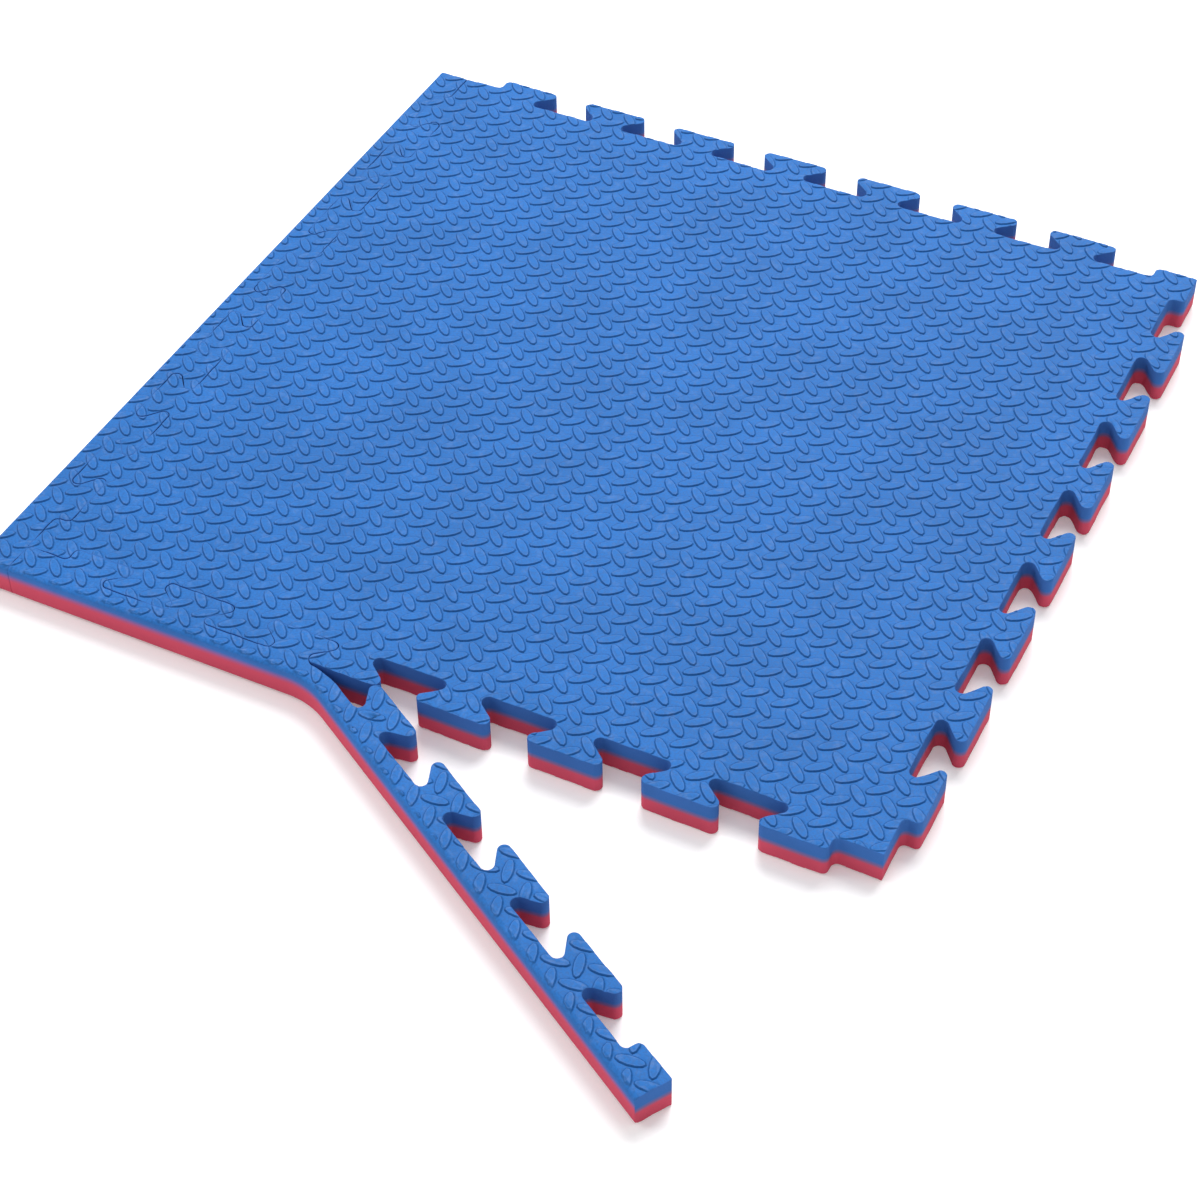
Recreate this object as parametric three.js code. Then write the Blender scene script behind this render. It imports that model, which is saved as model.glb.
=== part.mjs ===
// An interlocking foam floor mat: one square tile with jigsaw edges and two border strips.
//
// The tile lies flat on the floor. One strip is pressed into the whole of its left side. The other
// is pressed into the first three sockets of its front side, then bends away from the tile where the
// strip is thin, and the rest of it lies on the floor. Tile and strips are cut from one sheet, which
// is a blue foam layer laminated onto a red one, so each piece is modelled as its two layers.
//
// The bending strip is cut at the middle of two of its thin places, where the foam works as a hinge:
// its middle length swings sideways on the seated length, and its tail peels up from the middle one.
//
// Millimetres, Z up. X runs right along the front side and Y runs to the back. The origin is the
// middle of the tile's underside.
import * as THREE from "three";

// ---- Driving dimensions ----

const TILE_SIDE = 600; // between the middle lines of opposite joints
const THICKNESS = 25; // both layers together
const STRIP_WIDTH = 24.5; // from the middle line of the joint to the strip's outer edge

const TOOTH_COUNT = 7; // on each side of the tile, with as many sockets
const TOOTH_PITCH = 76.7;
const JOINT_DEPTH = 22.5; // from the tip of a tooth to the bottom of its socket
const TOOTH_FLARE = 6.1; // how far a tooth's side swings out from its middle at the tip
const LOBE_RADIUS = 4.3; // rounding of a tooth's tip, and of a socket's corners
const STEP_INSET = 30.5; // from a corner of the tile to the square step where its joint begins
const STEP_RADIUS = 2;
const JOINT_GAP = 0.3; // between two pressed-together outlines

const BEND_ANGLE = THREE.MathUtils.degToRad(31);
const BEND_CENTRE = 227; // distance along the front strip
const BEND_LENGTH = 36;
const SWING_PLACE = 231; // where the middle length is cut from the seated one
const PEEL_PLACE = 319.2; // where the tail is cut off, in the middle of the next thin place
const CUT_GAP = 0.3; // between two lengths of the front strip

const BLUE_FOAM = { color: 0x3d7bc6, roughness: 0.75, metalness: 0 };
const RED_FOAM = { color: 0xb93a56, roughness: 0.75, metalness: 0 };

// ---- Sizes worked out from them ----

const LAYER_THICKNESS = THICKNESS / 2;
const HALF_SIDE = TILE_SIDE / 2;
const HALF_PITCH = TOOTH_PITCH / 2;
const HALF_DEPTH = JOINT_DEPTH / 2;
const HALF_GAP = JOINT_GAP / 2;
const CROSSING_COUNT = 2 * TOOTH_COUNT - 1; // curved tooth sides along one joint
const FIRST_CROSSING = HALF_SIDE - (TOOTH_COUNT - 1) * HALF_PITCH;

const LOBE_SHIFT = TOOTH_FLARE - LOBE_RADIUS; // of a lobe's centre along the joint
const LOBE_RISE = HALF_DEPTH - LOBE_RADIUS; // of a lobe's centre from the middle line
const LOBE_TURN = Math.PI - Math.atan2(LOBE_RISE, LOBE_SHIFT)
  + Math.asin(LOBE_RADIUS / Math.hypot(LOBE_SHIFT, LOBE_RISE));

const BEND_START = BEND_CENTRE - BEND_LENGTH / 2;
const BEND_RADIUS = BEND_LENGTH / BEND_ANGLE;
const NEUTRAL_LINE = (HALF_DEPTH + STRIP_WIDTH) / 2; // the middle of the thin places
const THIN_PLACE_EDGE = HALF_DEPTH + HALF_GAP;

const LOBE_SEGMENTS = 5;
const STEP_SEGMENTS = 2;
const BEND_SEGMENTS = 9;
const QUARTER_TURN = Math.PI / 2;

// ---- Outline of a joint ----
// A side of the tile is drawn flat: u (a point's x) runs along the side from its first corner, and v
// (a point's y) points out of the tile from the middle line of the joint. A shift moves the outline
// that far out of the tile, which leaves the gap between two pressed-together pieces.

function point(u, v) {
  return new THREE.Vector2(u, v);
}

function mirrored(points, axis) {
  return points.map(({ x, y }) => point(2 * axis - x, y)).reverse();
}

function arc(centre, radius, startAngle, endAngle, segments) {
  return Array.from({ length: segments + 1 }, (_, index) => {
    const angle = startAngle + ((endAngle - startAngle) * index) / segments;
    return point(centre.x + radius * Math.cos(angle), centre.y + radius * Math.sin(angle));
  });
}

// The curved side of a tooth: a lobe in the socket's corner, a lobe on the tooth's tip, and the
// straight line that touches both. rise is 1 from a socket out to a tooth and -1 back in.
function toothSide(crossing, rise, shift) {
  const socketCentre = point(crossing + LOBE_SHIFT, -LOBE_RISE);
  const tipCentre = point(crossing - LOBE_SHIFT, LOBE_RISE);
  const socketArc = [-QUARTER_TURN, LOBE_TURN - QUARTER_TURN, LOBE_SEGMENTS];
  const tipArc = [LOBE_TURN + QUARTER_TURN, QUARTER_TURN, LOBE_SEGMENTS];
  const outward = [
    ...arc(socketCentre, LOBE_RADIUS - shift, ...socketArc),
    ...arc(tipCentre, LOBE_RADIUS + shift, ...tipArc),
  ];
  return rise > 0 ? outward : mirrored(outward, crossing);
}

// The square step from the straight end of a side out to a tooth, or in to a socket.
function squareStep(rise, shift) {
  const nearCentre = point(STEP_INSET - STEP_RADIUS, rise * STEP_RADIUS);
  const farCentre = point(STEP_INSET + STEP_RADIUS, rise * (HALF_DEPTH - STEP_RADIUS));
  const nearArc = [-rise * QUARTER_TURN, 0, STEP_SEGMENTS];
  const farArc = [Math.PI, Math.PI - rise * QUARTER_TURN, STEP_SEGMENTS];
  return [
    ...arc(nearCentre, STEP_RADIUS - rise * shift, ...nearArc),
    ...arc(farCentre, STEP_RADIUS + rise * shift, ...farArc),
  ];
}

// The joint of one side between its straight ends. It starts with a tooth where firstRise is 1 and
// with a socket where firstRise is -1, and ends with the other one.
function jointOutline(firstRise, shift) {
  const sides = Array.from({ length: CROSSING_COUNT }, (_, index) => {
    const rise = index % 2 === 0 ? -firstRise : firstRise;
    return toothSide(FIRST_CROSSING + index * HALF_PITCH, rise, shift);
  });
  const lastStep = mirrored(squareStep(-firstRise, shift), HALF_SIDE);
  return [...squareStep(firstRise, shift), ...sides.flat(), ...lastStep];
}

// ---- From the flat drawing of a side to its place on the tile ----

function placeFront({ x, y }) {
  return point(x - HALF_SIDE, -HALF_SIDE - y);
}

function placeRight({ x, y }) {
  return point(HALF_SIDE + y, x - HALF_SIDE);
}

function placeBack({ x, y }) {
  return point(x - HALF_SIDE, HALF_SIDE + y);
}

function placeLeft({ x, y }) {
  return point(-HALF_SIDE - y, x - HALF_SIDE);
}

// ---- Outlines of the pieces ----

// The front and left sides start with a socket and the other two with a tooth, so that identical
// tiles fit together side by side without being turned.
function tileOutline() {
  const socketFirst = jointOutline(-1, -HALF_GAP);
  const toothFirst = jointOutline(1, -HALF_GAP);
  const corner = HALF_SIDE - HALF_GAP;
  return [
    point(-corner, -corner),
    ...socketFirst.map(placeFront),
    point(corner, -corner),
    ...toothFirst.map(placeRight),
    point(corner, corner),
    ...toothFirst.map(placeBack).reverse(),
    point(-corner, corner),
    ...socketFirst.map(placeLeft).reverse(),
  ];
}

// The left strip covers the front left corner and ends level with the back of the tile.
function leftStripOutline() {
  const frontEnd = -STRIP_WIDTH;
  const backEnd = TILE_SIDE - HALF_GAP;
  return [
    point(frontEnd, STRIP_WIDTH),
    point(frontEnd, HALF_GAP),
    ...jointOutline(-1, HALF_GAP),
    point(backEnd, HALF_GAP),
    point(backEnd, STRIP_WIDTH),
  ].map(placeLeft);
}

// Puts a point of the straight front strip where the bend moves it. A tooth that is still pressed
// into its socket stays in place.
function bent(straight) {
  const pressedIn = straight.x < SWING_PLACE && straight.y < HALF_DEPTH;
  if (pressedIn) return straight;
  const travel = straight.x - BEND_START;
  const along = THREE.MathUtils.clamp(travel, 0, BEND_LENGTH);
  const angle = along / BEND_RADIUS;
  const beyond = travel - along;
  const side = straight.y - NEUTRAL_LINE;
  return point(
    BEND_START + (BEND_RADIUS - side) * Math.sin(angle) + beyond * Math.cos(angle),
    NEUTRAL_LINE + BEND_RADIUS - (BEND_RADIUS - side) * Math.cos(angle) + beyond * Math.sin(angle),
  );
}

// Points along the bend on one edge of the strip, so that both edges come out round.
function bendStations(edge) {
  return Array.from({ length: BEND_SEGMENTS + 1 }, (_, index) => {
    return point(BEND_START + (BEND_LENGTH * index) / BEND_SEGMENTS, edge);
  });
}

// The edge of the straight front strip that faces the tile.
function frontStripInnerEdge() {
  const joint = jointOutline(-1, HALF_GAP);
  const pressedIn = joint.filter(({ x }) => x < SWING_PLACE);
  const free = joint.slice(pressedIn.length);
  const thinPlaceStart = pressedIn.at(-1).x;
  const stations = bendStations(THIN_PLACE_EDGE).filter(({ x }) => x > thinPlaceStart);
  return [...pressedIn, ...stations, ...free];
}

// One length of the front strip, from start to end along it. startEdge and endEdge say where its
// inner edge is there.
function frontStripOutline({ start, startEdge, end, endEdge }) {
  const within = ({ x }) => x > start && x < end;
  return [
    point(start, STRIP_WIDTH),
    point(start, startEdge),
    ...frontStripInnerEdge().filter(within),
    point(end, endEdge),
    point(end, STRIP_WIDTH),
    ...bendStations(STRIP_WIDTH).filter(within).reverse(),
  ].map(bent).map(placeFront);
}

const SEATED_LENGTH = {
  start: HALF_GAP,
  startEdge: HALF_GAP,
  end: SWING_PLACE - CUT_GAP / 2,
  endEdge: THIN_PLACE_EDGE,
};
const MIDDLE_LENGTH = {
  start: SWING_PLACE + CUT_GAP / 2,
  startEdge: THIN_PLACE_EDGE,
  end: PEEL_PLACE - CUT_GAP / 2,
  endEdge: THIN_PLACE_EDGE,
};
const TAIL_LENGTH = {
  start: PEEL_PLACE + CUT_GAP / 2,
  startEdge: THIN_PLACE_EDGE,
  end: TILE_SIDE - HALF_GAP,
  endEdge: HALF_GAP,
};

// ---- Solids ----

function foamLayer(name, outline, underside, foam) {
  const geometry = new THREE.ExtrudeGeometry(new THREE.Shape(outline), {
    depth: LAYER_THICKNESS,
    bevelEnabled: false,
  });
  const mesh = new THREE.Mesh(geometry, new THREE.MeshStandardMaterial(foam));
  mesh.name = name;
  mesh.position.z = underside;
  return mesh;
}

function laminatedPiece(name, outline) {
  const piece = new THREE.Group();
  piece.add(foamLayer(`${name}_red_layer`, outline, 0, RED_FOAM));
  piece.add(foamLayer(`${name}_blue_layer`, outline, LAYER_THICKNESS, BLUE_FOAM));
  return piece;
}

const mat = new THREE.Group();
mat.add(laminatedPiece("tile", tileOutline()));
mat.add(laminatedPiece("left_border", leftStripOutline()));
mat.add(laminatedPiece("front_border_seated", frontStripOutline(SEATED_LENGTH)));
mat.add(laminatedPiece("front_border_middle", frontStripOutline(MIDDLE_LENGTH)));
mat.add(laminatedPiece("front_border_tail", frontStripOutline(TAIL_LENGTH)));

export default mat;
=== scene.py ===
"""Looks of an interlocking foam mat: a square tile and two border strips, blue foam on red foam.

All of it was stamped from one embossed sheet. Every piece is therefore drawn flat, where it lay in
that sheet, and the leaf relief runs on from piece to piece. The front strip is then bent to where
it lies now, half pressed into the tile.

Lengths are in millimetres until a mesh is made. A side of the tile is drawn with u along the side
and v outward from the middle line of its joint, as in the CAD part.
"""
import math
from collections import namedtuple

import bpy
import numpy as np
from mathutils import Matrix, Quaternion, Vector
from mathutils.geometry import delaunay_2d_cdt


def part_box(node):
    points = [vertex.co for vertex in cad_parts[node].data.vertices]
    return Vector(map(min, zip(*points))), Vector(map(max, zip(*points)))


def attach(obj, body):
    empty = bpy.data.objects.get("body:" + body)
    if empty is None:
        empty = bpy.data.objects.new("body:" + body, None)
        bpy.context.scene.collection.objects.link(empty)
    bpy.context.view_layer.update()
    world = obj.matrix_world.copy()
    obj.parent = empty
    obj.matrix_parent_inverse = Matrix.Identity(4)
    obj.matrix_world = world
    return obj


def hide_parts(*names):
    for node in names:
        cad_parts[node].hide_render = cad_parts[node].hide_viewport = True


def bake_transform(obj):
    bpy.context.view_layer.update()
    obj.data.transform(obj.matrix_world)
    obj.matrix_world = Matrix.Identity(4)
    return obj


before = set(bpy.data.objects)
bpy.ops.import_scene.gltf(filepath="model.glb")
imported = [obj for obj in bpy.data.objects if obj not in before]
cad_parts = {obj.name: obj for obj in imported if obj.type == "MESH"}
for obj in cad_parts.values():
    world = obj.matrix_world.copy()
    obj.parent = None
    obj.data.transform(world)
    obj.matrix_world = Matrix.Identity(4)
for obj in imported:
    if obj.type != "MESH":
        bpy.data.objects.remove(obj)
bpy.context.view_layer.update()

MM = 0.001

# ---- Driving dimensions of the pieces ----

THICKNESS = round(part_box("tile_blue_layer")[1].z / MM, 2)
TILE_SIDE = 600.0
STRIP_WIDTH = 24.5
TOOTH_COUNT = 7
TOOTH_PITCH = 76.7
JOINT_DEPTH = 22.5
TOOTH_FLARE = 6.1
LOBE_RADIUS = 4.3
STEP_INSET = 30.5
STEP_RADIUS = 4.0
CORNER_RADIUS = 0.6  # of the square corners, seen from above
SQUARE_CORNER = 0.5  # a corner is square if the cosine of its turn is not over this
JOINT_GAP = 0.08  # pressed foam closes most of the CAD part's clearance,
OPEN_GAP = 0.5  # apart from the short stretches that stay open this much more
FULLY_OPEN = 1.6  # height of the waves along a joint from which it is open by all of that
FRONT_LOOSENESS = 0.9  # what the looser front joint adds to these waves
TIGHT_REACH = 4.0  # how far in from the straight front side the strips meet tightly

# The bend that the front strip already has, as places along its straight length.
BEND_ANGLE = math.radians(31)
BEND_CENTRE = 227.0
BEND_LENGTH = 36.0
SWING_PLACE = 231.0  # the teeth before it stay pressed into their sockets
PRESSED_BAND = (-6.0, 1.0)  # round the roots of those teeth: where they pass into the bent strip
SEAM_PLACE = 280.8  # across the fourth tooth, where the two meshes of the front strip meet

# Where the front strip turns as it moves: a point of the joint's axis, the way the strip runs
# there, and how far before and after that point it bends.
SWING_BEND = (Vector((-71.55, -327.745, 0)), Vector((0.9459, -0.3246, 0)), -9, 27)
PEEL_BEND = (Vector((6.871, -365.595, 0)), Vector((0.857167, -0.515038, 0)), -13, 13)

# ---- Driving dimensions of the surface ----

# How the surface rounds down at the crisp stamped joints, and at the softer straight outer edges:
# how far down, and how far in from the edge it starts.
JOINT_EDGE = (0.4, 0.6)
OUTER_EDGE = (3.0, 3.6)
JOINT_RINGS = (0.2, 0.6)  # lines of the mesh along a joint, inward from it
OUTER_RINGS = (0.2, 0.8, 1.8, 3.6)
ROUNDED = 0.06  # from this drop on, the surface is shaded as one with the side below it
EDGE_FADE = 2.5  # the relief gets lower this far in from the edge,
EDGE_RELIEF = 0.4  # down to this share of its height
OUTER_FADE = (1.08, 3.6)  # between these distances from a soft outer edge it fades in
CUT_REACH = 0.6  # how far in from the edge the stamped side's finish fades out

CELL = np.array((20.0, 19.25))  # the relief repeats in it, with one "\" leaf and one "/" leaf
RELIEF_TURN = math.radians(-1.3)
FIRST_LEAF = np.array((111.5, -145.1))
LEAF_HALF_LENGTH = 8.9
LEAF_HALF_WIDTH = 3.2
LEAVES = ((0.0, math.radians(-43)), (0.5, math.radians(39)))  # place in the cell, direction

# Lines of the mesh round a leaf: distance outside its outline, height over the field, points.
LEAF_RINGS = ((1.2, 0.0, 10), (0.45, -0.3, 11), (-0.4, 0.75, 11), (-3.0, 0.9, 2))
LEAF_TOP = LEAF_RINGS[-1][1]

ARC_STEP = math.radians(13)
OUTLINE_STEP = 3.0  # longest straight stretch between two points of an outline
CORNER_POINTS = 6
WELD_REACH = 1e-4  # points of a mesh that are closer than this become one
CAP_WELD_REACH = 1e-5

# ---- Materials: features in metres, and colours and tones as linear shares of 1 ----

PATCH_SIZE = 45 * MM
PATCH_TONES = (0.94, 1.07)
CUT_PATCH_TONE = 1.15
SCUFF_SIZE = 6 * MM
SCUFF_TONE = 0.05
SCUFF_FADE = 0.5
GRAIN_SIZE = 1.6 * MM
GRAIN_DEPTH = 0.12 * MM
GRAIN_TONE = 0.35
GRAIN_SHADE = 0.5
PORE_SIZE = 0.5 * MM
PORE_DEPTH = 0.05 * MM
PORE_TONE = 0.25
PORE_SHADE = 0.75
SKIN_ROUGHNESS = (0.52, 0.68)
CUT_ROUGHNESS = (0.8, 0.9)
SPECULAR = 0.16

# Bands along a leaf's outline, in millimetres outside it: where each side of the band starts and
# where it has its full tone.
# Painted shade: the colour is darkened in the grooves round the leaves.
PAINTED_GROOVE_SHADE_BAND = ((0.9, 0.35), (-0.5, 0.2))
PAINTED_GROOVE_SHADE_AMOUNT = 0.36
PAINTED_GROOVE_SHADE_SCALE = 0.2
# Painted highlight: the colour is lightened towards white on the raised rims of the leaves.
PAINTED_RIM_HIGHLIGHT_BAND = ((-1.2, -0.6), (-0.1, -0.5))
PAINTED_RIM_HIGHLIGHT_AMOUNT = 0.04
PAINTED_RIM_HIGHLIGHT_WHITENESS = 0.6

# Millimetres over the line between the two colours, where its blur ends, and where the red ends
# that the knife has dragged up over the blue of the outer edges.
GLUE_EDGE = 2.8
SMEAR_EDGE = 8.0
GLUE_TONE = 0.9

BLUE_SKIN = (0.017, 0.136, 0.435)
BLUE_CUT = (0.034, 0.128, 0.395)
RED_SKIN = (0.48, 0.055, 0.105)
RED_CUT = (0.52, 0.062, 0.108)
GLUE_COLOR = (0.165, 0.11, 0.25)

# ---- Stage: metres, watts and radians ----

CAMERA_AIM = Vector((0.0586, -0.184, 0.025))
CAMERA_DISTANCE = 1.687
CAMERA_AZIMUTH = math.radians(27.13)
CAMERA_ELEVATION = math.radians(44.54)
CAMERA_ROLL = math.radians(-0.97)
CAMERA_LENS = 79.6
KEY_LIGHT = ((-0.5, 3.4, 4.4), 4.0, 325)  # place, diameter, power
FILL_LIGHT = ((-2.8, -1.2, 1.6), 1.6, 30)
SKY_STRENGTH = 0.68
FLOOR_REACH = 20.0
FLOOR_TONE = 0.9
FLOOR_ROUGHNESS = 0.9
FLOOR_GLOW = 0.15

# ---- Sizes worked out from them ----

LAYER_THICKNESS = THICKNESS / 2
HALF_SIDE = TILE_SIDE / 2
HALF_PITCH = TOOTH_PITCH / 2
HALF_DEPTH = JOINT_DEPTH / 2
HALF_GAP = JOINT_GAP / 2
CROSSING_COUNT = 2 * TOOTH_COUNT - 1
FIRST_CROSSING = HALF_SIDE - (TOOTH_COUNT - 1) * HALF_PITCH
LOBE_SHIFT = TOOTH_FLARE - LOBE_RADIUS
LOBE_RISE = HALF_DEPTH - LOBE_RADIUS
LOBE_TURN = (
    math.pi
    - math.atan2(LOBE_RISE, LOBE_SHIFT)
    + math.asin(LOBE_RADIUS / math.hypot(LOBE_SHIFT, LOBE_RISE))
)
BEND_START = BEND_CENTRE - BEND_LENGTH / 2
BEND_RADIUS = BEND_LENGTH / BEND_ANGLE
NEUTRAL_LINE = (HALF_DEPTH + STRIP_WIDTH) / 2
TILE_CORE = HALF_SIDE - HALF_DEPTH - 2 * EDGE_FADE  # half the square that is clear of the joints
FAR_AWAY = 3 * TILE_SIDE
NO_LEAF = LEAF_RINGS[0][0]  # the leaf distance of a place that is clear of every leaf
SOLE_GROUP = len(LEAF_RINGS) + 1  # of faces: the flat side, where the two sheets meet
CUT_GROUP = len(LEAF_RINGS)  # walls inside the foam, where a strip is cut for a joint
EDGE_GROUP = 0  # walls along an outline, with the rounding over them
QUARTER_TURN = math.pi / 2


def smooth_step(values, start, end):
    share = np.clip((values - start) / (end - start), 0, 1)
    return share * share * (3 - 2 * share)


def turned(points, angle):
    cosine, sine = math.cos(angle), math.sin(angle)
    return points @ np.array(((cosine, sine), (-sine, cosine)))


# ---- Outlines of the pieces, flat, as arrays of points ----


def arc(centre, radius, start, end):
    count = max(2, math.ceil(abs(end - start) / ARC_STEP))
    angles = np.linspace(start, end, count + 1)
    return np.array(centre) + radius * np.column_stack((np.cos(angles), np.sin(angles)))


def mirrored(points, axis):
    return np.column_stack((2 * axis - points[:, 0], points[:, 1]))[::-1]


def tooth_side(crossing, rise, shift):
    """From a socket out to a tooth where rise is 1, and back in where it is -1."""
    socket_centre = (crossing + LOBE_SHIFT, -LOBE_RISE)
    tip_centre = (crossing - LOBE_SHIFT, LOBE_RISE)
    outward = np.vstack((
        arc(socket_centre, LOBE_RADIUS - shift, -QUARTER_TURN, LOBE_TURN - QUARTER_TURN),
        arc(tip_centre, LOBE_RADIUS + shift, LOBE_TURN + QUARTER_TURN, QUARTER_TURN),
    ))
    return outward if rise > 0 else mirrored(outward, crossing)


def square_step(rise, shift):
    """From the straight end of a side out to a tooth where rise is 1, or in to a socket."""
    near_centre = (STEP_INSET - STEP_RADIUS, rise * STEP_RADIUS)
    far_centre = (STEP_INSET + STEP_RADIUS, rise * (HALF_DEPTH - STEP_RADIUS))
    return np.vstack((
        arc(near_centre, STEP_RADIUS - rise * shift, -rise * QUARTER_TURN, 0),
        arc(far_centre, STEP_RADIUS + rise * shift, math.pi, math.pi - rise * QUARTER_TURN),
    ))


def joint_outline(first_rise, shift):
    rises = [-first_rise if index % 2 == 0 else first_rise for index in range(CROSSING_COUNT)]
    sides = [
        tooth_side(FIRST_CROSSING + index * HALF_PITCH, rise, shift)
        for index, rise in enumerate(rises)
    ]
    last_step = mirrored(square_step(-first_rise, shift), HALF_SIDE)
    return np.vstack((square_step(first_rise, shift), *sides, last_step))


def on_front(points):
    return np.column_stack((points[:, 0] - HALF_SIDE, -HALF_SIDE - points[:, 1]))


def on_right(points):
    return np.column_stack((HALF_SIDE + points[:, 1], points[:, 0] - HALF_SIDE))


def on_back(points):
    return np.column_stack((points[:, 0] - HALF_SIDE, HALF_SIDE + points[:, 1]))


def on_left(points):
    return np.column_stack((-HALF_SIDE - points[:, 1], points[:, 0] - HALF_SIDE))


def tile_outline():
    socket_first = joint_outline(-1, -HALF_GAP)
    tooth_first = joint_outline(1, -HALF_GAP)
    corner = HALF_SIDE - HALF_GAP
    return np.vstack((
        (-corner, -corner), on_front(socket_first),
        (corner, -corner), on_right(tooth_first),
        (corner, corner), on_back(tooth_first)[::-1],
        (-corner, corner), on_left(socket_first)[::-1],
    ))


def strip_outline(front_end):
    """A strip in its side's own drawing, from front_end to the far end of that side."""
    far_end = TILE_SIDE - HALF_GAP
    return np.vstack((
        (front_end, STRIP_WIDTH), (front_end, HALF_GAP),
        joint_outline(-1, HALF_GAP),
        (far_end, HALF_GAP), (far_end, STRIP_WIDTH),
    ))


def outer_line(*first_points):
    """The soft outer edge of a strip, from its first points to the far end of its straight side."""
    return np.array((*first_points, (TILE_SIDE - HALF_GAP, STRIP_WIDTH)))


def neighbours(outline):
    """Unit directions from the point before, and to the point after, each point of an outline."""
    incoming = outline - np.roll(outline, 1, axis=0)
    outgoing = np.roll(outline, -1, axis=0) - outline
    return (
        incoming / np.linalg.norm(incoming, axis=1, keepdims=True),
        outgoing / np.linalg.norm(outgoing, axis=1, keepdims=True),
    )


def with_round_corners(outline):
    """Replaces each square corner with a short curve."""
    curve = np.linspace(0, 1, CORNER_POINTS)[:, None]
    points = []
    for here, incoming, outgoing in zip(outline, *neighbours(outline)):
        if incoming @ outgoing > SQUARE_CORNER:
            points.append(here[None, :])
            continue
        start, end = here - CORNER_RADIUS * incoming, here + CORNER_RADIUS * outgoing
        points.append((1 - curve) ** 2 * start + 2 * curve * (1 - curve) * here + curve ** 2 * end)
    return np.vstack(points)


def with_short_steps(outline):
    points = []
    for here, after in zip(outline, np.roll(outline, -1, axis=0)):
        count = math.ceil(np.linalg.norm(after - here) / OUTLINE_STEP)
        points.append(np.linspace(here, after, count, endpoint=False))
    return np.vstack(points)


def counter_clockwise(outline):
    after = np.roll(outline, -1, axis=0)
    area = np.sum(outline[:, 0] * after[:, 1] - after[:, 0] * outline[:, 1])
    return outline if area > 0 else outline[::-1]


def moved_in(outline, distance):
    incoming, outgoing = (turned(way, QUARTER_TURN) for way in neighbours(outline))
    spread = 1 + np.sum(incoming * outgoing, axis=1, keepdims=True)
    return outline + distance * (incoming + outgoing) / spread


def how_open(points):
    """Irregular waves from 0, where a joint is pressed tight, to 1. Both faces have the same ones.

    The front joint is looser, because its strip was pulled. The strips are tight where they meet at
    the front face.
    """
    x, y = np.abs(points[:, 0]), points[:, 1]
    waves = np.sin(x / 11 + 1.3 * np.sin(y / 17)) + np.sin(y / 9 + 1.7 * np.sin(x / 23))
    at_front = smooth_step(y, -HALF_SIDE + 1.4 * JOINT_DEPTH, -HALF_SIDE + 0.6 * JOINT_DEPTH)
    behind_face = smooth_step(y, TIGHT_REACH - HALF_SIDE - STRIP_WIDTH, -HALF_SIDE - HALF_DEPTH)
    return smooth_step(waves + FRONT_LOOSENESS * at_front, 0.0, FULLY_OPEN) * behind_face


def finished(outline):
    outline = with_short_steps(with_round_corners(counter_clockwise(outline)))
    return moved_in(outline, OPEN_GAP / 2 * how_open(outline)[:, None])


# ---- The leaf relief of the sheet ----


def leaf_ring(offset, count):
    angles = np.linspace(0, 2 * math.pi, count, endpoint=False)
    return np.column_stack((
        (LEAF_HALF_LENGTH + offset) * np.cos(angles),
        (LEAF_HALF_WIDTH + offset if count > 2 else 0.0) * np.sin(angles),
    ))


def leaf_rings(low, high):
    """The mesh lines of every leaf with its centre between two corners of a box."""
    reach = np.abs(np.concatenate((low - FIRST_LEAF, high - FIRST_LEAF))).max() * 1.5
    cells = np.arange(-math.ceil(reach / CELL.min()), math.ceil(reach / CELL.min()) + 1)
    grid = np.stack(np.meshgrid(cells, cells), axis=-1).reshape(-1, 2)
    rings = []
    for place, direction in LEAVES:
        centres = FIRST_LEAF + turned((grid + place) * CELL, RELIEF_TURN)
        inside = np.all((centres > low) & (centres < high), axis=1)
        for offset, _, count in LEAF_RINGS:
            ring = turned(leaf_ring(offset, count), direction + RELIEF_TURN)
            rings.extend(centre + ring for centre in centres[inside])
    return rings


def distance_from_leaf(points):
    """How far outside the nearest leaf's outline each point is, negative inside it."""
    offsets = np.array([ring[0] for ring in LEAF_RINGS])
    half_axes = np.array((LEAF_HALF_LENGTH, LEAF_HALF_WIDTH))
    local = turned(points - FIRST_LEAF, -RELIEF_TURN) / CELL
    nearest = np.full(len(points), offsets[0])
    for place, direction in LEAVES:
        base = np.round(local - place) + place
        for step in np.ndindex(3, 3):
            spot = turned((local - base - np.array(step) + 1) * CELL, -direction)
            reach = [np.sum((spot / (half_axes + offset)) ** 2, axis=1) for offset in offsets]
            for outer, inner in zip(range(len(offsets) - 1), range(1, len(offsets))):
                share = (1 - reach[outer]) / (reach[inner] - reach[outer])
                found = offsets[outer] + np.clip(share, 0, 1) * (offsets[inner] - offsets[outer])
                nearest = np.where(reach[outer] < 1, np.minimum(nearest, found), nearest)
    return nearest


def relief_height(leaf_distance):
    offsets, heights, _ = np.array(LEAF_RINGS[::-1]).T
    return np.interp(leaf_distance, offsets, heights)


# ---- From an outline to the closed mesh of a foam layer ----


def triangulated(rings):
    """Delaunay triangles between closed rings of points, with every ring kept as edges."""
    points = np.vstack(rings)
    edges = []
    for ring in rings:
        start = edges[-1][0] + 1 if edges else 0
        edges.extend((start + index, start + (index + 1) % len(ring)) for index in range(len(ring)))
    found = delaunay_2d_cdt([Vector(point) for point in points], edges, [], 0, WELD_REACH, False)
    return np.array([tuple(point) for point in found[0]]), np.array(found[2])


def inside(points, starts, ends):
    """Which points are inside the loops that the edges from starts to ends make."""
    x, y = points.T
    result = np.zeros(len(points), bool)
    for (x0, y0), (x1, y1) in zip(starts, ends):
        if y0 != y1:
            result ^= ((y0 > y) != (y1 > y)) & (x < (x1 - x0) * (y - y0) / (y1 - y0) + x0)
    return result


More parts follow.
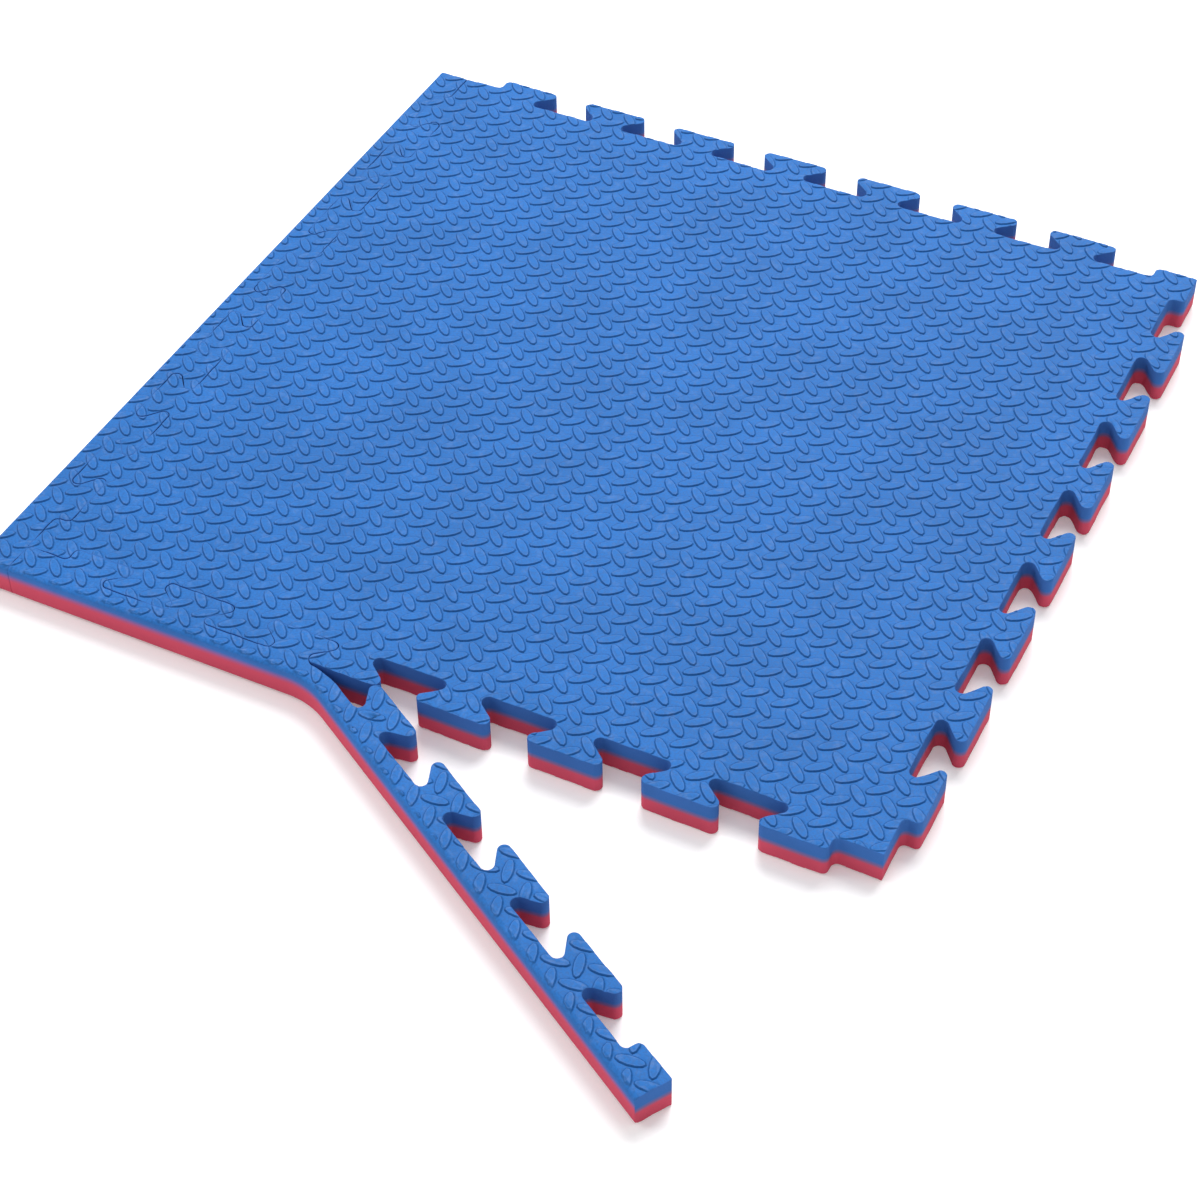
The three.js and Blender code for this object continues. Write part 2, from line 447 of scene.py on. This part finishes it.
def distance_from(points, starts, ends):
    """How far each point is from the nearest of the edges from starts to ends."""
    nearest = np.full(len(points), np.inf)
    for start, end in zip(starts, ends):
        way = end - start
        share = np.clip((points - start) @ way / (way @ way), 0, 1)
        nearest = np.minimum(nearest, np.linalg.norm(points - start - share[:, None] * way, axis=1))
    return nearest


def rounding(distance, drop, reach):
    share = 1 - np.clip(distance / reach, 0, 1)
    return drop * (1 - np.sqrt(1 - share ** 2))


def mesh_inside(outline, core, rings, lines):
    """Points and triangles that fill an outline, and follow its rings, the lines and the leaves."""
    edge_rings = [moved_in(outline, distance) for distance in rings]
    leaves = leaf_rings(outline.min(axis=0) - CELL / 2, outline.max(axis=0) + CELL / 2)
    points, triangles = triangulated([outline, *edge_rings, *lines, *leaves])
    middles = points[triangles].mean(axis=1)
    kept = np.abs(middles).max(axis=1) < core
    kept[~kept] = inside(middles[~kept], outline, np.roll(outline, -1, axis=0))
    used, triangles = np.unique(triangles[kept], return_inverse=True)
    return points[used], triangles.reshape(-1, 3)


def distance_inside(points, outline, core):
    """How far in from an outline each point is. It stays infinite in the core."""
    distance = np.full(len(points), np.inf)
    near = np.abs(points).max(axis=1) >= core
    distance[near] = distance_from(points[near], outline, np.roll(outline, -1, axis=0))
    return distance


class Sheet:
    """The embossed upper face of a layer inside an outline, flat, as triangles.

    core is half the side of a square in the middle that is clear of every edge. lines are more
    lines that the mesh follows, and outer is the open line of the soft outer edge.
    """

    def __init__(self, outline, core=0.0, lines=(), outer=None):
        rings = JOINT_RINGS if outer is None else OUTER_RINGS
        self.points, self.triangles = mesh_inside(outline, core, rings, lines)
        self.edge_distance = distance_inside(self.points, outline, core)
        self.leaf_distance = distance_from_leaf(self.points)
        relief = relief_height(self.leaf_distance)
        relief *= EDGE_RELIEF + (1 - EDGE_RELIEF) * smooth_step(self.edge_distance, 0, EDGE_FADE)
        self.drop = rounding(self.edge_distance, *JOINT_EDGE) * how_open(self.points)
        self.outer_side = np.zeros(len(self.points))
        if outer is not None:
            relief *= self.soften(outer)
        self.heights = THICKNESS - LEAF_TOP + relief - self.drop

    def soften(self, outer):
        """Rounds the soft outer edge, and gives the share of the relief that is left along it."""
        distance = distance_from(self.points, outer[:-1], outer[1:])
        share = smooth_step(distance, *OUTER_FADE)
        self.leaf_distance = NO_LEAF + share * (self.leaf_distance - NO_LEAF)
        self.drop = np.maximum(self.drop, rounding(distance, *OUTER_EDGE))
        self.outer_side = 1 - smooth_step(distance, 0, CUT_REACH)
        return share


def border_edges(triangles):
    """The directed edges that only one triangle has."""
    edges = np.concatenate([triangles[:, (i, (i + 1) % 3)] for i in range(3)])
    seen = {(start, end) for start, end in edges.tolist()}
    return np.array([(start, end) for start, end in seen if (end, start) not in seen])


def cap_triangles(points, edges):
    """Fills the loops that the edges make, in indices of the points."""
    places = [Vector(point) for point in points]
    found = delaunay_2d_cdt(places, edges.tolist(), [], 0, CAP_WELD_REACH, True)
    first_of = np.array([origin[0] for origin in found[3]])
    triangles = first_of[np.array(found[2])]
    middles = points[triangles].mean(axis=1)
    return triangles[inside(middles, points[edges[:, 0]], points[edges[:, 1]])]


def area_normals(points, triangles):
    first, second, third = (points[triangles[:, i]] for i in range(3))
    return np.cross(second - first, third - first)


def corner_normals(points, triangles, groups):
    """Smooth normals inside each group of faces, so that the lines between groups stay crisp."""
    keys = (triangles * (groups.max() + 1) + groups[:, None]).ravel()
    face_normals = np.repeat(area_normals(points, triangles), 3, axis=0)
    totals = np.column_stack([np.bincount(keys, face_normals[:, axis]) for axis in range(3)])
    normals = totals[keys]
    return normals / np.linalg.norm(normals, axis=1, keepdims=True)


def face_groups(sheet, triangles, rim, sole_count):
    """Which faces are shaded as one: the sheet's triangles, two walls for each edge, the sole."""
    outside_leaf = sheet.leaf_distance[triangles].mean(axis=1)
    upper = 1 + sum((outside_leaf < ring[0]).astype(int) for ring in LEAF_RINGS[:-1])
    upper[sheet.drop[triangles].mean(axis=1) > ROUNDED] = EDGE_GROUP
    on_outline = sheet.edge_distance[rim].max(axis=1) < JOINT_RINGS[0] / 2
    walls = np.tile(np.where(on_outline, EDGE_GROUP, CUT_GROUP), 2)
    return np.concatenate((upper, walls, np.full(sole_count, SOLE_GROUP)))


def layer_arrays(sheet, kept):
    """The closed layer under the kept triangles of a sheet: points, triangles, groups and looks."""
    used, top = np.unique(sheet.triangles[kept], return_inverse=True)
    top = top.reshape(-1, 3)
    flat = sheet.points[used]
    rim = border_edges(top)
    rim_points, rim_index = np.unique(rim, return_inverse=True)
    rim_index = rim_index.reshape(-1, 2)
    start, end = rim.T
    lower_start, lower_end = len(used) + rim_index.T
    walls = np.concatenate((
        np.column_stack((lower_start, lower_end, end)),
        np.column_stack((lower_start, end, start)),
    ))
    sole = cap_triangles(flat[rim_points], rim_index)[:, ::-1] + len(used)

    upper = np.column_stack((flat, sheet.heights[used]))
    lower = np.column_stack((flat[rim_points], np.full(len(rim_points), LAYER_THICKNESS)))
    cut_side = 1 - smooth_step(sheet.edge_distance[used], 0, CUT_REACH)
    outer_side = sheet.outer_side[used]
    return {
        "points": np.vstack((upper, lower)),
        "triangles": np.concatenate((top, walls, sole)),
        "groups": face_groups(sheet, sheet.triangles[kept], used[rim], len(sole)),
        "leaf_distance": np.concatenate((sheet.leaf_distance[used], np.full(len(lower), NO_LEAF))),
        "cut_side": np.concatenate((cut_side, np.ones(len(lower)))),
        "outer_side": np.concatenate((outer_side, outer_side[rim_points])),
    }


def turned_over(points):
    return points * (-1, 1, -1) + (0, 0, THICKNESS)


def where_it_lies(points):
    return points


def bent_away(points):
    """Bends the straight front strip. A tooth that is still pressed into its socket stays there."""
    u, v = points[:, 0] + HALF_SIDE, -HALF_SIDE - points[:, 1]
    along = np.clip(u - BEND_START, 0, BEND_LENGTH)
    beyond = u - BEND_START - along
    angle = along / BEND_RADIUS
    radius = BEND_RADIUS - v + NEUTRAL_LINE
    bent_u = BEND_START + radius * np.sin(angle) + beyond * np.cos(angle)
    bent_v = NEUTRAL_LINE + BEND_RADIUS - radius * np.cos(angle) + beyond * np.sin(angle)
    band_start, band_end = (HALF_DEPTH + edge for edge in PRESSED_BAND)
    share = np.where(u < SWING_PLACE, smooth_step(v, band_start, band_end), 1)
    u, v = u + share * (bent_u - u), v + share * (bent_v - v)
    return np.column_stack((u - HALF_SIDE, -HALF_SIDE - v, points[:, 2]))


def set_attribute(mesh, name, kind, values):
    attribute = mesh.attributes.new(name, kind, "POINT")
    attribute.data.foreach_set("vector" if kind == "FLOAT_VECTOR" else "value", values.ravel())


def triangle_mesh(name, points, triangles):
    mesh = bpy.data.meshes.new(name)
    mesh.vertices.add(len(points))
    mesh.vertices.foreach_set("co", (points * MM).ravel())
    mesh.loops.add(triangles.size)
    mesh.loops.foreach_set("vertex_index", triangles.ravel())
    mesh.polygons.add(len(triangles))
    mesh.polygons.foreach_set("loop_start", np.arange(0, triangles.size, 3))
    mesh.update(calc_edges=True)
    return mesh


def foam_piece(name, arrays, upside_down, place, material):
    flat, triangles = arrays["points"], arrays["triangles"]
    points = place(turned_over(flat) if upside_down else flat)
    mesh = triangle_mesh(name, points, triangles)
    set_attribute(mesh, "sheet_place", "FLOAT_VECTOR", flat * MM)
    for look in ("leaf_distance", "cut_side", "outer_side"):
        set_attribute(mesh, look, "FLOAT", arrays[look])
    mesh.normals_split_custom_set(corner_normals(points, triangles, arrays["groups"]))
    mesh.materials.append(material)
    piece = bpy.data.objects.new(name, mesh)
    bpy.context.scene.collection.objects.link(piece)
    return piece


# ---- Materials ----


class Nodes:
    """Short calls that add one node each to a material, and give its result."""

    def __init__(self, name):
        self.material = bpy.data.materials.new(name)
        self.material.use_nodes = True
        self.tree = self.material.node_tree
        self.shader = self.tree.nodes["Principled BSDF"]

    def join(self, value, socket):
        if isinstance(value, bpy.types.NodeSocket):
            self.tree.links.new(value, socket)
        else:
            socket.default_value = value

    def attribute(self, name, output="Fac"):
        node = self.tree.nodes.new("ShaderNodeAttribute")
        node.attribute_name = name
        return node.outputs[output]

    def noise(self, place, feature, detail=2.0):
        node = self.tree.nodes.new("ShaderNodeTexNoise")
        self.join(place, node.inputs["Vector"])
        self.join(1 / feature, node.inputs["Scale"])
        self.join(detail, node.inputs["Detail"])
        return node.outputs["Fac"]

    def cells(self, place, feature):
        node = self.tree.nodes.new("ShaderNodeTexVoronoi")
        self.join(place, node.inputs["Vector"])
        self.join(1 / feature, node.inputs["Scale"])
        return node.outputs["Distance"]

    def ramp(self, value, start, end, low=0.0, high=1.0):
        """Smoothly from low where value is start, to high where it is end."""
        node = self.tree.nodes.new("ShaderNodeMapRange")
        node.interpolation_type = "SMOOTHSTEP"
        for socket, setting in zip(node.inputs, (value, start, end, low, high)):
            self.join(setting, socket)
        return node.outputs["Result"]

    def math(self, operation, first, second):
        node = self.tree.nodes.new("ShaderNodeMath")
        node.operation = operation
        self.join(first, node.inputs[0])
        self.join(second, node.inputs[1])
        return node.outputs["Value"]

    def band(self, value, low_side, high_side):
        return self.math("MULTIPLY", self.ramp(value, *low_side), self.ramp(value, *high_side))

    def height_of(self, place):
        node = self.tree.nodes.new("ShaderNodeSeparateXYZ")
        self.join(place, node.inputs["Vector"])
        return node.outputs["Z"]

    def colors(self, factor, first, second):
        node = self.tree.nodes.new("ShaderNodeMix")
        node.data_type = "RGBA"
        self.join(factor, node.inputs["Factor"])
        for name, color in (("A", first), ("B", second)):
            self.join((*color, 1) if isinstance(color, tuple) else color, node.inputs[name])
        return node.outputs["Result"]

    def bump(self, height, depth, under=None):
        node = self.tree.nodes.new("ShaderNodeBump")
        self.join(depth, node.inputs["Distance"])
        self.join(height, node.inputs["Height"])
        if under is not None:
            self.join(under, node.inputs["Normal"])
        return node.outputs["Normal"]


def scaled_color(color, factor):
    return tuple(channel * factor for channel in color)


def faded(color, share):
    """A colour that is mixed with white."""
    return tuple(channel + share * (1 - channel) for channel in color)


def skin_colors(nodes, color, place, leaf_distance, patches, grain):
    """The embossed skin: cloudy, with painted shade that darkens the grooves round the leaves, and
    a painted highlight that lightens their rims.
    """
    dark_patch, light_patch = (scaled_color(color, tone) for tone in PATCH_TONES)
    # Painted shade in the grooves round the leaves.
    groove_shade_mask = nodes.band(leaf_distance, *PAINTED_GROOVE_SHADE_BAND)
    # Painted highlight on the rims of the leaves.
    rim = nodes.band(leaf_distance, *PAINTED_RIM_HIGHLIGHT_BAND)
    scuffs = nodes.ramp(nodes.noise(place, SCUFF_SIZE, 4.0), 0.5, 0.75, 0, SCUFF_TONE)
    grain_tone = nodes.ramp(grain, 0.6, 0.35, 0, GRAIN_TONE)
    skin = nodes.colors(nodes.ramp(patches, 0.3, 0.7), dark_patch, light_patch)
    groove_shade_share = nodes.math("MULTIPLY", groove_shade_mask, PAINTED_GROOVE_SHADE_AMOUNT)
    rim_highlight_share = nodes.math("MULTIPLY", rim, PAINTED_RIM_HIGHLIGHT_AMOUNT)
    skin = nodes.colors(grain_tone, skin, scaled_color(color, GRAIN_SHADE))
    skin = nodes.colors(scuffs, skin, faded(color, SCUFF_FADE))
    # Painted shade: the grooves are mixed towards a darker copy of the colour.
    skin = nodes.colors(groove_shade_share, skin, scaled_color(color, PAINTED_GROOVE_SHADE_SCALE))
    # Painted highlight: the rims are mixed towards white.
    return nodes.colors(rim_highlight_share, skin, faded(color, PAINTED_RIM_HIGHLIGHT_WHITENESS))


def cut_colors(nodes, color, place, patches, pores):
    """The stamped side: fine cells, and a blurred line where it is laminated to the other colour.

    Along the straight outer edges the knife has dragged the red up over the blue.
    """
    pore_tone = nodes.ramp(pores, 0.1, 0.6, 0, PORE_TONE)
    patch_tone = nodes.ramp(patches, 0.35, 0.65, 0, 0.5)
    cut = nodes.colors(pore_tone, color, scaled_color(color, PORE_SHADE))
    cut = nodes.colors(patch_tone, cut, scaled_color(color, CUT_PATCH_TONE))
    height, line = nodes.height_of(place), LAYER_THICKNESS * MM
    glue = nodes.ramp(height, line + GLUE_EDGE * MM, line, 0, GLUE_TONE)
    smear = nodes.ramp(height, line + SMEAR_EDGE * MM, line)
    glued = nodes.colors(glue, cut, GLUE_COLOR)
    smeared = nodes.colors(smear, cut, RED_CUT)
    return nodes.colors(nodes.attribute("outer_side"), glued, smeared)


def foam_material(name, skin_color, cut_color):
    """Moulded skin on the embossed face, and fine closed cells where the foam was stamped."""
    nodes = Nodes(name)
    place = nodes.attribute("sheet_place", "Vector")
    leaf_distance = nodes.attribute("leaf_distance")
    cut_side = nodes.attribute("cut_side")
    skin_side = nodes.math("SUBTRACT", 1.0, cut_side)
    patches = nodes.noise(place, PATCH_SIZE, 3.0)
    grain = nodes.noise(place, GRAIN_SIZE, 3.0)
    pores = nodes.cells(place, PORE_SIZE)

    skin = skin_colors(nodes, skin_color, place, leaf_distance, patches, grain)
    cut = cut_colors(nodes, cut_color, place, patches, pores)
    nodes.join(nodes.colors(cut_side, skin, cut), nodes.shader.inputs["Base Color"])

    skin_roughness = nodes.math("MULTIPLY", nodes.ramp(grain, 0.3, 0.7, *SKIN_ROUGHNESS), skin_side)
    cut_roughness = nodes.math("MULTIPLY", nodes.ramp(pores, 0.0, 0.7, *CUT_ROUGHNESS), cut_side)
    nodes.join(nodes.math("ADD", skin_roughness, cut_roughness), nodes.shader.inputs["Roughness"])
    nodes.shader.inputs["Specular IOR Level"].default_value = SPECULAR

    skin_normal = nodes.bump(nodes.math("MULTIPLY", grain, skin_side), GRAIN_DEPTH)
    both_normals = nodes.bump(nodes.math("MULTIPLY", pores, cut_side), PORE_DEPTH, skin_normal)
    nodes.join(both_normals, nodes.shader.inputs["Normal"])
    return nodes.material


# ---- The pieces ----

Layer = namedtuple("Layer", "color upside_down material")
LAYERS = (
    Layer("blue", False, foam_material("blue_foam", BLUE_SKIN, BLUE_CUT)),
    Layer("red", True, foam_material("red_foam", RED_SKIN, RED_CUT)),
)


def as_drawn(points, layer):
    """Points of the sheet that a layer is made in, upright. The red one is turned over later."""
    return points * (-1, 1) if layer.upside_down else points


def add_piece(name, layer, arrays, place, nodes):
    color, upside_down, material = layer
    piece = foam_piece(f"{name}_{color}_foam", arrays, upside_down, place, material)
    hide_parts(*(f"{node}_{color}_layer" for node in nodes))
    return piece


def add_flat_piece(name, layer, outline, core=0.0, outer=None):
    if outer is not None:
        outer = as_drawn(outer, layer)
    sheet = Sheet(finished(as_drawn(outline, layer)), core, outer=outer)
    everything = np.ones(len(sheet.triangles), bool)
    return add_piece(name, layer, layer_arrays(sheet, everything), where_it_lies, [name])


def bend(piece, near_body, far_body, point, way, before, after):
    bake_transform(piece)


def add_front_strip(layer):
    """One strip in two meshes that meet across a tooth."""
    side = -1 if layer.upside_down else 1
    seam = side * (SEAM_PLACE - HALF_SIDE)
    seam_line = np.array(((seam, -HALF_SIDE - FAR_AWAY), (seam, -HALF_SIDE + FAR_AWAY)))
    outline = finished(as_drawn(on_front(strip_outline(HALF_GAP)), layer))
    outer = as_drawn(on_front(outer_line((HALF_GAP, STRIP_WIDTH))), layer)
    sheet = Sheet(outline, lines=[seam_line], outer=outer)
    middles = sheet.points[sheet.triangles].mean(axis=1)[:, 0]
    near = side * middles < side * seam
    piece = add_piece("front_border_near", layer, layer_arrays(sheet, near), bent_away,
                      ["front_border_seated"])
    bend(piece, "front_border_seated", "front_border_middle", *SWING_BEND)
    piece = add_piece("front_border_far", layer, layer_arrays(sheet, ~near), bent_away,
                      ["front_border_middle", "front_border_tail"])
    bend(piece, "front_border_middle", "front_border_tail", *PEEL_BEND)


for layer in LAYERS:
    piece = add_flat_piece("tile", layer, tile_outline(), core=TILE_CORE)
    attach(piece, "tile")

left_outline = on_left(strip_outline(-STRIP_WIDTH))
left_outer = on_left(outer_line((-STRIP_WIDTH, HALF_GAP), (-STRIP_WIDTH, STRIP_WIDTH)))
for layer in LAYERS:
    piece = add_flat_piece("left_border", layer, left_outline, outer=left_outer)
    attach(piece, "left_border")

for layer in LAYERS:
    add_front_strip(layer)

# ---- Stage ----


def add_camera():
    data = bpy.data.cameras.new("camera")
    data.lens = CAMERA_LENS
    data.sensor_width = 36
    camera = bpy.data.objects.new("camera", data)
    back = Vector((
        math.sin(CAMERA_AZIMUTH) * math.cos(CAMERA_ELEVATION),
        -math.cos(CAMERA_AZIMUTH) * math.cos(CAMERA_ELEVATION),
        math.sin(CAMERA_ELEVATION),
    ))
    camera.location = CAMERA_AIM + CAMERA_DISTANCE * back
    camera.rotation_mode = "QUATERNION"
    aimed = (-back).to_track_quat("-Z", "Y")
    camera.rotation_quaternion = aimed @ Quaternion((0, 0, 1), CAMERA_ROLL)
    bpy.context.scene.collection.objects.link(camera)
    bpy.context.scene.camera = camera


def add_floor():
    sides = ((-1, -1), (1, -1), (1, 1), (-1, 1))
    corners = [(x * FLOOR_REACH, y * FLOOR_REACH, 0) for x, y in sides]
    mesh = bpy.data.meshes.new("floor")
    mesh.from_pydata(corners, [], [(0, 1, 2, 3)])
    floor = bpy.data.objects.new("floor", mesh)
    material = bpy.data.materials.new("floor")
    material.use_nodes = True
    shader = material.node_tree.nodes["Principled BSDF"]
    shader.inputs["Base Color"].default_value = (FLOOR_TONE, FLOOR_TONE, FLOOR_TONE, 1)
    shader.inputs["Roughness"].default_value = FLOOR_ROUGHNESS
    shader.inputs["Specular IOR Level"].default_value = 0.0
    shader.inputs["Emission Color"].default_value = (1, 1, 1, 1)
    shader.inputs["Emission Strength"].default_value = FLOOR_GLOW
    mesh.materials.append(material)
    bpy.context.scene.collection.objects.link(floor)


def add_soft_light(name, place, size, power):
    data = bpy.data.lights.new(name, "AREA")
    data.shape = "DISK"
    data.size = size
    data.energy = power
    light = bpy.data.objects.new(name, data)
    light.location = place
    light.rotation_mode = "QUATERNION"
    light.rotation_quaternion = (-Vector(place)).to_track_quat("-Z", "Y")
    bpy.context.scene.collection.objects.link(light)


def add_sky():
    world = bpy.data.worlds.new("studio")
    world.use_nodes = True
    background = world.node_tree.nodes["Background"]
    background.inputs["Color"].default_value = (1, 1, 1, 1)
    background.inputs["Strength"].default_value = SKY_STRENGTH
    bpy.context.scene.world = world


add_camera()
add_floor()
add_soft_light("key", *KEY_LIGHT)
add_soft_light("fill", *FILL_LIGHT)
add_sky()
bpy.context.scene.view_settings.view_transform = "Standard"
